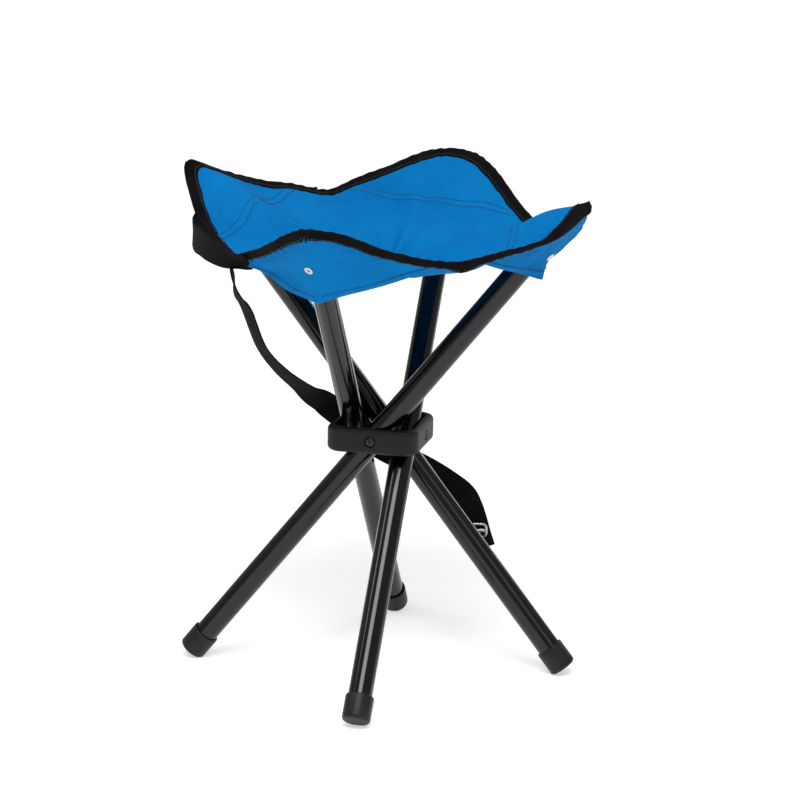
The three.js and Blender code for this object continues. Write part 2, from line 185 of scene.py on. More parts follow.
# ---- node materials
class Look:
    """A procedural material: node() and its helpers add nodes, and shade() sets the shader's own sockets."""

    def __init__(self, name, slot):
        self.material = bpy.data.materials.new(name)
        self.material.use_nodes = True
        self.tree = self.material.node_tree
        self.shader = self.tree.nodes["Principled BSDF"]
        self.slot = slot

    def put(self, node, socket, value):
        target = node.inputs[socket]
        if isinstance(value, bpy.types.NodeSocket):
            self.tree.links.new(value, target)
        elif isinstance(value, (tuple, list)) and len(value) == 3 and target.type == "RGBA":
            target.default_value = (*value, 1)
        else:
            target.default_value = value

    def node(self, kind, settings=None, **inputs):
        node = self.tree.nodes.new("ShaderNode" + kind)
        for name, value in (settings or {}).items():
            setattr(node, name, value)
        for socket, value in inputs.items():
            self.put(node, socket.replace("_", " "), value)
        return node

    def calc(self, operation, a, b=0.0):
        node = self.node("Math", {"operation": operation})
        self.put(node, 0, a)
        self.put(node, 1, b)
        return node.outputs[0]

    def position(self):
        return self.node("TexCoord").outputs["Object"]

    def flat(self):
        """The cloth's own coordinates, in metres."""
        return self.node("Attribute", {"attribute_name": "flat"}).outputs["Vector"]

    def noise(self, vector, scale, detail=3.0, roughness=0.55):
        node = self.node("TexNoise", Vector=vector, Scale=scale, Detail=detail, Roughness=roughness)
        return node.outputs["Fac"]

    def bend(self, value, low, high, from_low=0.0, from_high=1.0):
        """A value of from_low to from_high, stretched to low to high."""
        node = self.node("MapRange")
        for index, number in enumerate((value, from_low, from_high, low, high)):
            self.put(node, index, number)
        return node.outputs[0]

    def mix(self, factor, a, b):
        node = self.node("Mix", {"data_type": "RGBA"})
        self.put(node, 0, factor)
        self.put(node, 6, a)
        self.put(node, 7, b)
        return node.outputs[2]

    def bump(self, height, distance, strength):
        return self.node("Bump", Height=height, Distance=distance, Strength=strength).outputs[0]

    def shade(self, **inputs):
        for socket, value in inputs.items():
            self.put(self.shader, socket.replace("_", " "), value)


def split(look, vector):
    node = look.node("SeparateXYZ", Vector=vector)
    return node.outputs[0], node.outputs[1]


def weave_height(look, along, across, thread):
    """Height of a plain weave: threads go over and under each other, a thread apart."""
    wave_a = look.calc("SINE", look.calc("MULTIPLY", along, math.pi / thread))
    wave_b = look.calc("SINE", look.calc("MULTIPLY", across, math.pi / thread))
    return look.calc("MULTIPLY", wave_a, wave_b)


def cloth_look():
    look = Look("blue_oxford_cloth", "cloth")
    thread, twill_pitch = 0.00062, 0.0021
    flat = look.flat()
    along, across = split(look, flat)
    wobble = look.noise(flat, 900.0, 2.0)
    shift = look.calc("MULTIPLY", look.calc("SUBTRACT", wobble, 0.5), 0.0005)
    weave = weave_height(look, look.calc("ADD", along, shift), across, thread)
    diagonal = look.calc("ADD", along, across)
    twill = look.calc("SINE", look.calc("MULTIPLY", diagonal, 2 * math.pi / twill_pitch))
    slub = look.noise(look.node("Mapping", Vector=flat, Scale=(60, 900, 1)).outputs[0], 1.0, 2.0)
    cloud = look.noise(look.position(), 14.0, 3.0)
    deep, light = (0.0001, 0.120, 0.37), (0.0004, 0.205, 0.53)
    tone = look.bend(cloud, 0.25, 0.75, 0.3, 0.7)
    tone = look.calc("ADD", tone, look.calc("MULTIPLY", twill, 0.18))
    tone = look.calc("ADD", tone, look.calc("MULTIPLY", weave, 0.12))
    tone = look.calc("ADD", tone, look.bend(slub, -0.15, 0.15, 0.3, 0.7))
    height = look.calc("ADD", look.calc("MULTIPLY", weave, 0.5), look.calc("MULTIPLY", twill, 0.35))
    look.shade(
        Base_Color=look.mix(tone, deep, light),
        Roughness=look.bend(weave, 0.62, 0.78, -1.0, 1.0),
        Normal=look.bump(height, 0.00018, 0.8),
        Specular_IOR_Level=0.05,
    )
    return look


def webbing_look(name, rib, base, light):
    """Black ribbed tape: ribs across its length and a finer weave along it."""
    look = Look(name, "webbing")
    flat = look.flat()
    along, across = split(look, flat)
    ribs = look.calc("SINE", look.calc("MULTIPLY", along, 2 * math.pi / rib))
    weave = weave_height(look, along, across, rib * 0.62)
    fuzz = look.noise(flat, 2200.0, 2.0)
    wear = look.noise(look.position(), 32.0, 4.0)
    tone = look.calc("ADD", look.bend(wear, 0.15, 0.7, 0.35, 0.7), look.calc("MULTIPLY", weave, 0.22))
    height = look.calc("ADD", look.calc("MULTIPLY", ribs, 0.5), look.calc("MULTIPLY", weave, 0.4))
    height = look.calc("ADD", height, look.calc("MULTIPLY", fuzz, 0.5))
    look.shade(
        Base_Color=look.mix(tone, base, light),
        Roughness=look.bend(fuzz, 0.72, 0.92, 0.3, 0.7),
        Normal=look.bump(height, 0.00022, 0.8),
        Specular_IOR_Level=0.07,
    )
    return look


def thread_look(name, slot, base, light):
    look = Look(name, slot)
    twist = look.noise(look.position(), 2600.0, 2.0)
    look.shade(
        Base_Color=look.mix(twist, base, light),
        Roughness=look.bend(twist, 0.5, 0.75),
        Normal=look.bump(twist, 0.00008, 0.6),
    )
    return look


def tube_look():
    look = Look("gloss_black_paint", "tube")
    place = look.position()
    peel = look.noise(place, 420.0, 2.0)
    dust = look.noise(place, 55.0, 5.0, 0.7)
    specks = look.bend(look.noise(place, 1400.0, 1.0), 0.0, 1.0, 0.68, 0.76)
    paint, speck = (0.0010, 0.0010, 0.0011), (0.012, 0.012, 0.0125)
    look.shade(
        Base_Color=look.mix(look.calc("MULTIPLY", specks, 0.5), paint, speck),
        Roughness=look.bend(dust, 0.10, 0.17, 0.35, 0.75),
        Normal=look.bump(peel, 0.00006, 0.15),
        Specular_IOR_Level=0.42,
    )
    return look


def moulded_look(name, slot, base, light, grain, roughness, depth):
    """Moulded plastic or rubber: fine spark grain, a little dust and paler worn edges."""
    look = Look(name, slot)
    place = look.position()
    fine = look.noise(place, grain, 3.0, 0.6)
    broad = look.noise(place, 45.0, 4.0, 0.65)
    edge = look.bend(look.node("NewGeometry").outputs["Pointiness"], 0.0, 0.6, 0.52, 0.60)
    tone = look.calc("ADD", look.bend(broad, 0.1, 0.7, 0.35, 0.7), look.calc("MULTIPLY", edge, 0.8))
    look.shade(
        Base_Color=look.mix(tone, base, light),
        Roughness=look.bend(fine, roughness - 0.08, roughness + 0.10, 0.3, 0.7),
        Normal=look.bump(fine, depth, 0.6),
        Specular_IOR_Level=0.24,
    )
    return look


def metal_look(name, slot, base, light, roughness):
    look = Look(name, slot)
    place = look.position()
    scratch = look.noise(look.node("Mapping", Vector=place, Scale=(300, 300, 3000)).outputs[0], 1.0, 3.0)
    patch = look.noise(place, 160.0, 4.0)
    look.shade(
        Base_Color=look.mix(patch, base, light),
        Roughness=look.bend(scratch, roughness, roughness + 0.15, 0.3, 0.7),
        Normal=look.bump(scratch, 0.00003, 0.4),
        Metallic=1.0,
    )
    return look


def floor_look():
    look = Look("lit_white_table", None)
    grain = look.noise(look.position(), 6.0, 5.0)
    from_middle = look.node("VectorMath", {"operation": "LENGTH"}, Vector=look.position()).outputs["Value"]
    look.shade(
        Base_Color=look.mix(grain, (0.80, 0.80, 0.80), (0.83, 0.83, 0.83)),
        Roughness=look.bend(grain, 0.75, 0.9),
        Specular_IOR_Level=0.0,
        Emission_Color=look.mix(grain, (0.97, 0.97, 0.97), (1.0, 1.0, 1.0)),
        Emission_Strength=look.bend(from_middle, 0.50, 0.74, 0.6, 3.0),
    )
    return look


CLOTH = cloth_look()
WEBBING = webbing_look("black_webbing", 0.0016, (0.0025, 0.0025, 0.003), (0.010, 0.010, 0.0105))
TAPE = webbing_look("black_binding", 0.0011, (0.0015, 0.0015, 0.002), (0.007, 0.007, 0.0075))
BLUE_THREAD = thread_look("blue_thread", "cloth", (0.0005, 0.018, 0.11), (0.001, 0.035, 0.17))
BLACK_THREAD = thread_look("black_thread", "webbing", (0.008, 0.008, 0.009), (0.03, 0.03, 0.032))
TUBE = tube_look()
HUB = moulded_look("hub_nylon", "hub", (0.003, 0.003, 0.003), (0.010, 0.010, 0.010),
                   1500.0, 0.52, 0.00008)
FOOT = moulded_look("foot_rubber", "foot", (0.007, 0.007, 0.0075), (0.020, 0.020, 0.021),
                    1100.0, 0.42, 0.00006)
PLUG = moulded_look("plug_plastic", "hub", (0.015, 0.015, 0.016), (0.035, 0.035, 0.036),
                    1300.0, 0.5, 0.00006)
SCREW = metal_look("black_oxide", "screw", (0.02, 0.02, 0.022), (0.07, 0.07, 0.075), 0.35)
NICKEL = metal_look("bright_nickel", "steel", (0.46, 0.45, 0.44), (0.62, 0.61, 0.60), 0.2)


# ---- meshes
def set_flat(mesh, flat):
    """The cloth's own coordinates, in metres, a point to each vertex."""
    attribute = mesh.attributes.new("flat", "FLOAT_VECTOR", "POINT")
    attribute.data.foreach_set("vector", np.asarray(flat, np.float32).ravel())


def add_piece(name, verts, faces, look, sharp=math.radians(40), flat=None, flat_faces=0):
    """A mesh object from metres. flat_faces is how many faces at the end of the list stay flat shaded."""
    mesh = bpy.data.meshes.new(name)
    corners = [tuple(int(i) for i in face) for face in faces]
    mesh.from_pydata([tuple(v) for v in np.asarray(verts, float)], [], corners)
    mesh.validate()
    mesh.update()
    smooth = np.ones(len(mesh.polygons), bool)
    if flat_faces:
        smooth[-flat_faces:] = False
    mesh.polygons.foreach_set("use_smooth", smooth)
    mesh.set_sharp_from_angle(angle=sharp)
    if flat is not None:
        set_flat(mesh, flat)
    mesh.materials.append(look.material)
    piece = bpy.data.objects.new(name, mesh)
    bpy.context.scene.collection.objects.link(piece)
    return piece


def tile(rows, columns, start=0, wrap=False):
    """Quads of a grid of rows by columns points; wrap closes the columns."""
    faces = []
    for i in range(rows - 1):
        for j in range(columns if wrap else columns - 1):
            k = (j + 1) % columns
            faces.append((start + i * columns + j, start + i * columns + k,
                          start + (i + 1) * columns + k, start + (i + 1) * columns + j))
    return faces


def grid_normals(p):
    du = np.gradient(p, axis=0)
    dv = np.gradient(p, axis=1)
    return unit(np.cross(du, dv))


def lathe(profile, segments, place, name, look, sharp=math.radians(35)):
    """A turned piece: profile is [radius, z] pairs, closed on itself or on the axis; place moves points."""
    angles = np.arange(segments) * 2 * math.pi / segments
    verts, faces, rings = [], [], []
    for radius, z in profile:
        if radius < 1e-6:
            rings.append([len(verts)])
            verts.append((0, 0, z))
        else:
            rings.append(list(range(len(verts), len(verts) + segments)))
            verts.extend((radius * math.cos(a), radius * math.sin(a), z) for a in angles)
    closed = profile[0][0] > 1e-6
    pairs = list(zip(rings, rings[1:] + (rings[:1] if closed else [])))
    for low, high in pairs:
        for j in range(segments):
            k = (j + 1) % segments
            quad = [low[j % len(low)], low[k % len(low)], high[k % len(high)], high[j % len(high)]]
            faces.append(tuple(dict.fromkeys(quad)))
    faces = [f for f in faces if len(f) > 2]
    return add_piece(name, place(np.array(verts)), faces, look, sharp)


def arc(centre, radius, start, end, steps):
    """Points [radius, z] on an arc, angles in degrees."""
    angles = [math.radians(a) for a in np.linspace(start, end, steps)]
    return [(centre[0] + radius * math.cos(a), centre[1] + radius * math.sin(a)) for a in angles]


def smooth_curve(points, steps):
    """A Catmull-Rom curve through points, with steps points to each span."""
    p = np.asarray(points, float)
    ext = np.vstack([2 * p[0] - p[1], p, 2 * p[-1] - p[-2]])
    out = []
    for i in range(len(p) - 1):
        a, b, c, d = ext[i:i + 4]
        out += [catmull_rom(a, b, c, d, t) for t in np.linspace(0, 1, steps, endpoint=False)]
    out.append(p[-1])
    return np.array(out)


def cut(piece, tool):
    """Takes the tool's shape out of a piece, and removes the tool."""
    modifier = piece.modifiers.new("cut", "BOOLEAN")
    modifier.operation = "DIFFERENCE"
    modifier.object = tool
    modifier.solver = "EXACT"
    graph = bpy.context.evaluated_depsgraph_get()
    mesh = bpy.data.meshes.new_from_object(piece.evaluated_get(graph))
    piece.modifiers.clear()
    piece.data = mesh
    bpy.data.objects.remove(tool)


def rigid(piece, body, *nodes):
    """A piece that rides one body and is shown in place of CAD nodes."""
    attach(piece, body)
    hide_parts(*nodes)


# ---- cords: shoulder strap and handle
# A point in millimetres above the pivots, and the direction that the strap's width takes there.
SHOULDER_UPPER = [
    (-116, -105, 167, 0.25, -0.97, 0), (-113.5, -104, 157, 0.25, -0.97, 0),
    (-110.5, -100, 142, 0.5, -0.85, 0.1), (-105, -92, 128, 0.55, -0.8, 0.18),
    (-98, -67, 89, 0.4, -0.8, 0.35), (-86, -43, 62, 0.2, -0.8, 0.5),
    (-70, -14, 38, -0.05, -0.8, 0.6), (-57.7, 12.8, 20.2, -0.05, -0.72, 0.7),
]
SHOULDER_LOWER = [
    (-57.7, 12.8, 20.2, -0.05, -0.72, 0.7), (-48, 35, 4, 0.35, 0, 0.8), (-34, 50, -13, 0.45, 0.25, 0.84),
    (-14, 56, -29, 0.42, 0.25, 0.86), (10, 57, -40, 0.4, 0.2, 0.88), (34, 56, -50, 0.4, 0.2, 0.88),
    (54, 54, -60, 0.42, 0.2, 0.86), (69, 53, -70, 0.6, 0.2, 0.75), (76, 52, -81, 0.85, 0.2, 0.45),
    (81, 51, -94, 0.9, 0.2, 0.2), (85, 50, -106, 0.9, 0.2, 0.2), (90, 49, -120, 0.9, 0.2, 0.2),
]
HANDLE_FRONT = [
    (-97, -112, 175, -0.6, -0.6, 0.53), (-109, -110, 176, -0.5, -0.5, 0.7),
    (-125, -104, 179.5, -0.1, -0.1, 0.99), (-141, -90, 181.5, 0, 0, 1), (-154, -73, 183, 0, 0, 1),
    (-167, -49, 182, 0, 0, 1), (-177, -22, 184, 0, 0, 1), (-182, 9, 186, 0, 0, 1),
]
HANDLE_BACK = [
    (-182, 9, 186, 0, 0, 1), (-180, 38, 186, 0, 0, 1), (-170, 66, 187, 0, 0, 1),
    (-150, 90, 188, 0, 0, 1), (-121, 105, 191, 0, 0, 1), (-93, 114, 196, 0, 0, 1),
]


def strap(name, route):
    """A flat woven strap along a route, with its middle line and its length in metres."""
    fine = smooth_curve(route, 10)
    line = fine[:, :3]
    tangent = unit(np.gradient(line, axis=0))
    wide = fine[:, 3:6]
    wide = unit(wide - tangent * (wide * tangent).sum(1, keepdims=True))
    normal = np.cross(tangent, wide)
    half, t = STRAP_WIDTH / 2, STRAP_T / 2
    across = np.linspace(-half + t, half - t, 9)
    shoulder = half - t * 0.3
    section = [(x, t) for x in across] + [(shoulder, t * 0.7), (half, 0), (shoulder, -t * 0.7)]
    section += [(x, -t) for x in across[::-1]] + [(-shoulder, -t * 0.7), (-half, 0), (-shoulder, t * 0.7)]
    section = np.array(section)
    run = run_along(line)
    curl = 0.25 * np.cos(section[:, 0] / half * math.pi)
    points = (line[:, None] + wide[:, None] * section[None, :, :1]
              + normal[:, None] * (section[None, :, 1:2] + curl[None, :, None] - 0.1))
    flat = np.zeros(points.shape)
    flat[..., 0] = run[:, None] * MM
    flat[..., 1] = section[None, :, 0] * MM
    rows, columns = points.shape[:2]
    faces = tile(rows, columns, wrap=True)
    faces += [tuple(range(columns)), tuple(range(rows * columns - 1, (rows - 1) * columns - 1, -1))]
    piece = add_piece(name, above_pivots(points.reshape(-1, 3)), faces, WEBBING, math.radians(60),
                      flat.reshape(-1, 3), 2)
    return piece, above_pivots(line), run[-1] * MM


def wire_loop(name, points, radius, look):
    """Round wire bent through a closed line of points, in millimetres above the pivots."""
    p = np.asarray(points, float)
    tangent = unit(np.roll(p, -1, 0) - np.roll(p, 1, 0))
    flat_normal = unit(np.cross(p[0] - p.mean(0), p[len(p) // 3] - p.mean(0)))
    side = unit(np.cross(tangent, flat_normal))
    angles = np.linspace(0, 2 * math.pi, 12, endpoint=False)
    rings = (p[:, None] + radius * (np.cos(angles)[None, :, None] * side[:, None]
                                    + np.sin(angles)[None, :, None] * flat_normal))
    rows, columns = rings.shape[:2]
    faces = []
    for i in range(rows):
        for j in range(columns):
            a, b, k = i * columns, ((i + 1) % rows) * columns, (j + 1) % columns
            faces.append((a + j, a + k, b + k, b + j))
    return add_piece(name, above_pivots(rings.reshape(-1, 3)), faces, look)


def rounded_rectangle(width, height, radius, steps=6):
    points = []
    for cx, cy, start in ((1, 1, 0), (-1, 1, 90), (-1, -1, 180), (1, -1, 270)):
        corner = (cx * (width / 2 - radius), cy * (height / 2 - radius))
        points += arc(corner, radius, start, start + 90, steps)
    return np.array(points)


def slider_piece():
    """The metal slider: a bent wire frame with a bar across its middle, as one piece."""
    centre = np.array([80.0, 45.3, -102.0])
    wide = unit([math.cos(0.2), math.sin(0.2), 0])
    tall = np.array([0.0, 0.0, 1.0])
    width = 27.6
    wires = []
    for name, outline, radius in (("slider_wire", rounded_rectangle(width, 12.6, 4.0), 1.15),
                                  ("slider_bar", rounded_rectangle(width, 1.2, 0.55, 3), 0.95)):
        loop = centre + outline[:, :1] * wide + outline[:, 1:] * tall
        wires.append(wire_loop(name, loop, radius, NICKEL))
        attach(wires[-1], "hub")
    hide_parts("strap_slider")
    return wires


# Name, route, the CAD node it replaces, its two bodies, and the points of its line between which it turns
# from the first to the second.
STRAPS = (
    ("shoulder_strap_upper", SHOULDER_UPPER, "shoulder_strap_upper", "drape_front_left", "leg_front", 0, -8),
    ("shoulder_strap_lower", SHOULDER_LOWER, "shoulder_strap_lower", "leg_front", "hub", 4, 30),
    ("handle_front", HANDLE_FRONT, "handle_strap_front", "leg_left", "drape_left_front", -4, -18),
    ("handle_back", HANDLE_BACK, "handle_strap_back", "leg_left", "drape_left_back", 3, 17),
)


def make_cords():
    slider = slider_piece()
    for name, route, node, near, far, start, end in STRAPS:
        piece, line, length = strap(f"{name}_webbing", route)
        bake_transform(piece)
        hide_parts(node)


make_camera()
make_studio()


# ---- seat: one rim, from ear to ear
# Each half edge from an ear's tip to the middle of an edge: [along the ear's diagonal, square to it, height
# above the pivots], at a quarter, a half and three quarters of the way; tips and middles are on their own.
DIAGONAL_TURN = math.radians(-7.4)
EAR_TIPS = {"right": (195, 0, 232), "back": (186, 0, 240), "left": (199.5, 1, 239), "front": (187, 0, 221)}
EDGE_MIDDLES = {"right": (157, 189), "back": (136, 206), "left": (152, 176), "front": (170, 192)}
HALF_EDGES = {
    ("right", 1): ((176, 28, 208), (155, 56, 200), (133, 83, 194)),
    ("right", -1): ((178, 30, 208), (159, 60, 200), (140, 90, 196)),
    ("back", 1): ((171, 24, 238), (147, 48, 227), (122, 72, 217)),
    ("back", -1): ((174, 28, 238), (154, 56, 225), (133, 83, 204)),
    ("left", 1): ((182, 25, 207), (158, 53, 190), (132, 81, 179)),
    ("left", -1): ((175, 24, 229), (150, 48, 219), (123, 72, 213)),
    ("front", 1): ((176, 30, 217), (158, 60, 204), (139, 90, 195)),
    ("front", -1): ((174, 27, 211), (153, 54, 196), (130, 81, 185)),
}
SEAT_CENTRE_HEIGHT = 155.5
CREASE_ROUND, SAG_ROUND = 0.05, 0.27  # how rounded the seat's bottom is on the eight creases and between them
CLOTH_SIDE = 291.0  # the square cloth's side, cut flat
HALF_DIAGONAL = CLOTH_SIDE / math.sqrt(2)
CLOTH_T = 0.9
STEPS = 64  # grid cells along each half edge, and from the centre to the rim


def from_ear(side, points):
    """Points [along the ear's diagonal, square to it, height] to heights above the pivots."""
    return turned(side, spin(points, DIAGONAL_TURN))


def edge_middle(side):
    """The middle of the edge between a side's ear and the next one's."""
    reach, height = EDGE_MIDDLES[side]
    along = reach * math.sqrt(0.5)
    return from_ear(side, (along, along, height))


def rim_controls():
    """Eight half edges of four spans each, all the way round, from the right ear's tip."""
    controls = []
    for side in SIDES:
        for direction in (1, -1):
            owner = side if direction > 0 else neighbour(side, 1)
            half = [from_ear(owner, (a, direction * s, h)) for a, s, h in HALF_EDGES[owner, direction]]
            if direction > 0:
                controls += [from_ear(side, EAR_TIPS[side])] + half
            else:
                controls += [edge_middle(side)] + half[::-1]
    return np.array(controls)


def closed_curve(controls, values):
    """A closed Catmull-Rom curve at values, a control to each whole number."""
    n = len(controls)
    i = np.floor(values).astype(int)
    t = (values - i)[:, None]
    a, b, c, d = (controls[(i + k) % n] for k in (-1, 0, 1, 2))
    return catmull_rom(a, b, c, d, t)


def hash_wave(u, v, seed):
    """Smooth, repeatable unevenness from a few waves, about -1 to 1."""
    random = np.random.default_rng(seed)
    total = np.zeros(np.broadcast(u, v).shape)
    for _ in range(6):
        angle = random.uniform(0, math.pi)
        phase = random.uniform(0, 2 * math.pi)
        scale = random.uniform(0.6, 1.7)
        total += np.sin(2 * math.pi * scale * (u * math.cos(angle) + v * math.sin(angle)) + phase)
    return total / 3


# How far each half hangs below its creases, from the right ear's counter-clockwise half on.
SAG_DEPTHS = np.array([3.0, 3.0, 2.5, 2.5, 3.0, 4.0, 7.0, 9.0])
# How far the crease bows up near the ear's tip.
EAR_ARCHES = {"right": 5.0, "back": 1.0, "left": 2.0, "front": 1.0}
LUMPS = ((1.5, 85.0, 3), (0.5, 34.0, 8))  # the cloth's unevenness: height, breadth and seed


def slack(u):
    """0 on the eight creases, from the seat's centre to the ears and the edges' middles, and 1 between."""
    return np.sin(math.pi * u) ** 2


def climb(u, reach):
    round_by = CREASE_ROUND + SAG_ROUND * slack(u)

    def rounded(value):
        return np.sqrt(value * value + round_by ** 2) - round_by
    return rounded(reach) / rounded(1.0)


def flat_square(u, v):
    """Where a point of the seat lies on the flat cloth: x and y, then along and square to its ear's diagonal.

    u is 0 to 8 round the rim, and v is the reach, 0 at the centre and 1 at the rim."""
    corner = np.floor((u + 1) / 2)
    share = u - 2 * corner
    a = v * HALF_DIAGONAL * (1 - np.abs(share) / 2)
    b = v * HALF_DIAGONAL * share / 2
    turn = corner * math.pi / 2 + math.pi / 4
    return a * np.cos(turn) - b * np.sin(turn), a * np.sin(turn) + b * np.cos(turn), a, b


def push_off_tubes(p):
    """Cloth that would lie inside a tube's end is pushed out of it."""
    radius, low, high = 12.5, 170.0, 251.0
    out = p.copy()
    for side in SIDES:
        local = to_leg(side, out)
        offset = local.copy()
        offset[..., 2] -= np.clip(local[..., 2], low, high)
        distance = np.linalg.norm(offset, axis=-1)
        wanted = (distance ** 8 + radius ** 8) ** (1 / 8)
        near = np.clip((local[..., 2] - 150) / 30, 0, 1)
        outwards = offset / np.maximum(distance, 1e-6)[..., None]
        out = from_leg(side, local + outwards * ((wanted - distance) * near)[..., None])
    return out


def seat_surface(u, v):
    """The seat's middle surface, in millimetres above the pivots; u and v are grids."""
    u, v = np.broadcast_arrays(np.asarray(u, float), np.asarray(v, float))
    rim = closed_curve(RIM, (u * 4).ravel()).reshape(*u.shape, 3)
    p = np.empty(u.shape + (3,))
    p[..., :2] = rim[..., :2] * v[..., None]
    p[..., 2] = SEAT_CENTRE_HEIGHT + (rim[..., 2] - SEAT_CENTRE_HEIGHT) * climb(u, v)
    depth = SAG_DEPTHS[np.floor(u % 8).astype(int)]
    p[..., 2] -= depth * slack(u) * 4 * v * (1 - v)
    for index, side in enumerate(SIDES):
        from_crease = (u - 2 * index + 4) % 8 - 4
        arch = np.exp(-(from_crease / 0.3) ** 2) * np.sin(math.pi * np.clip((v - 0.6) / 0.4, 0, 1)) ** 2
        p[..., 2] += EAR_ARCHES[side] * arch
    x, y, _, _ = flat_square(u, v)
    fade = np.clip((1 - v) / 0.12, 0, 1) * np.clip(slack(u) * 1.5, 0, 1)
    lumps = sum(height * hash_wave(x / breadth, y / breadth, seed) for height, breadth, seed in LUMPS)
    p[..., 2] += lumps * fade * np.clip(v / 0.1, 0, 1)
    gather = np.clip((v - 0.80) / 0.17, 0, 1) ** 2
    p[..., 2] += 0.45 * gather * hash_wave(u * 14, v * 1.5, 5)
    return push_off_tubes(p)


def seat_normal(u, v):
    step = 1e-3
    u, v = np.broadcast_arrays(np.asarray(u, float), np.asarray(v, float))
    low = np.minimum(v, 1 - step)
    n = unit(np.cross(seat_surface(u, low + step) - seat_surface(u, low - step),
                      seat_surface(u + step, low) - seat_surface(u - step, low)))
    return np.where(n[..., 2:] < 0, -n, n)


RIM = rim_controls()


def seat_grid():
    """Every half's points and normals, worked out together so that the halves meet."""
    u = np.arange(-2, 8 * STEPS + 3) / STEPS
    v = 1 - (1 - np.linspace(0, 1, STEPS + 1)) ** 1.15
    grid_u, grid_v = np.meshgrid(u, v, indexing="ij")
    p = seat_surface(grid_u, grid_v)
    du = p[2:] - p[:-2]
    dv = np.gradient(p, axis=1)
    dv[:, 0] = dv[:, 1]
    n = unit(np.cross(dv[1:-1], du))
    n[:, 0] = [0, 0, 1]
    if np.mean(n[..., 2]) < 0:
        n = np.where(n[..., 2:3] < 0, -n, n)
    return grid_u[1:-1], grid_v[1:-1], p[1:-1], n


def half_columns(side, direction):
    """The slice of the whole grid that belongs to an ear's half; the grid starts one column early."""
    tip = SIDES.index(side) * 2 * STEPS + 1
    if direction > 0:
        return slice(tip, tip + STEPS + 1)
    if tip == 1:
        tip += 8 * STEPS
    return slice(tip - STEPS, tip + 1)


GRID_U, GRID_V, GRID_P, GRID_N = seat_grid()


def thick_sheet(name, points, normals, thickness, look, flat, pole=False, bulge=None):
    """A closed sheet of cloth round a grid of points.

    bulge adds to its upper face; pole joins the points of its first column into one."""
    rows, columns = points.shape[:2]
    half = thickness / 2
    upper = points + normals * (half + (0 if bulge is None else bulge[..., None]))
    lower = points - normals * half
    count = rows * columns
    faces = tile(rows, columns) + [f[::-1] for f in tile(rows, columns, count)]
    if pole:
        faces = [f for f in faces if not (f[0] % count % columns == 0 or f[1] % count % columns == 0)]
        for i in range(rows - 1):
            a, b = i * columns, (i + 1) * columns
            faces.append((a, a + 1, b + 1))
            faces.append((count + a, count + b + 1, count + a + 1))
    ring = list(range(columns))
    ring += [i * columns + columns - 1 for i in range(1, rows)]
    ring += [(rows - 1) * columns + j for j in range(columns - 2, -1, -1)]
    if not pole:
        ring += [i * columns for i in range(rows - 2, 0, -1)]
    walls = [(b, a, a + count, b + count) for a, b in zip(ring, ring[1:] + ring[:1])]
    facing = np.cross(points[:-1, 1:] - points[:-1, :-1], points[1:, :-1] - points[:-1, :-1])
    if (facing * normals[:-1, :-1]).sum() < 0:
        faces = [f[::-1] for f in faces]
        walls = [f[::-1] for f in walls]
    verts = np.concatenate([upper.reshape(-1, 3), lower.reshape(-1, 3)])
    both = np.concatenate([flat.reshape(-1, 3)] * 2)
    if pole:
        first = np.arange(0, count, columns)
        verts, faces, walls, both = merge_pole(verts, faces, walls, both, first, count)
    return add_piece(name, above_pivots(verts), faces + walls, look, math.radians(60), both, len(walls))


def merge_pole(verts, faces, walls, flat, first, count):
    """All the points of the first column become one, on each face of the sheet."""
    keep = np.arange(len(verts))
    keep[first], keep[first + count] = first[0], first[0] + count
    used = np.unique(keep)
    new = np.full(len(verts), -1)
    new[used] = np.arange(len(used))

    def renamed(face):
        kept = tuple(dict.fromkeys(int(new[keep[i]]) for i in face))
        return kept if len(kept) > 2 else None
    faces = [f for f in map(renamed, faces) if f]
    walls = [f for f in map(renamed, walls) if f]
    return verts[used], faces, walls, flat[used]


STITCH_LENGTH, STITCH_PITCH, STITCH_R = 2.5, 3.2, 0.4
STITCH_SIDES = 6
# Along the stitch, above the cloth and how thick: as shares of its length and its radius.
STITCH_SHAPE = ((-0.5, -0.5, 0.3), (-0.32, 0.55, 1.0), (0.32, 0.55, 1.0), (0.5, -0.5, 0.3))


def stitches(name, line, normals, look):
    """A row of sewn stitches along a line on the cloth, in millimetres above the pivots."""
    run = run_along(line)
    verts, faces = [], []
    sides = STITCH_SIDES

    def sample(values, at):
        return np.array([np.interp(at, run, values[:, k]) for k in range(3)])
    for i in range(int(run[-1] / STITCH_PITCH)):
        middle = (i + 0.5) * STITCH_PITCH
        start = len(verts)
        for along, lift, size in STITCH_SHAPE:
            at = middle + along * STITCH_LENGTH
            centre = sample(line, at)
            up = unit(sample(normals, at))
            ahead = unit(sample(line, at + 0.3) - sample(line, at - 0.3))
            side = np.cross(ahead, up)
            for k in range(sides):
                angle = 2 * math.pi * k / sides
                spoke = math.cos(angle) * side + math.sin(angle) * up
                verts.append(centre + STITCH_R * (lift * up + size * spoke))
        for ring in range(len(STITCH_SHAPE) - 1):
            for k in range(sides):
                a, b = start + ring * sides + k, start + ring * sides + (k + 1) % sides
                faces.append((a, b, b + sides, a + sides))
        faces.append(tuple(start + k for k in reversed(range(sides))))
        faces.append(tuple(start + (len(STITCH_SHAPE) - 1) * sides + k for k in range(sides)))
    return add_piece(name, above_pivots(np.array(verts)), faces, look, math.radians(50))


# ---- where the cloth's bend lies, from a leg to the panel beside it
CAD_EAR_REACH, CAD_EAR_HEIGHT, CAD_CENTRE_HEIGHT = 190.0, 235.0, 156.0
CAD_EDGES = {"right": (157, 189), "back": (136, 205), "left": (152, 176), "front": (170, 192)}
SOFT_REACH = 40.0  # the bend from the leg to its panel ends this far from the ear's tip
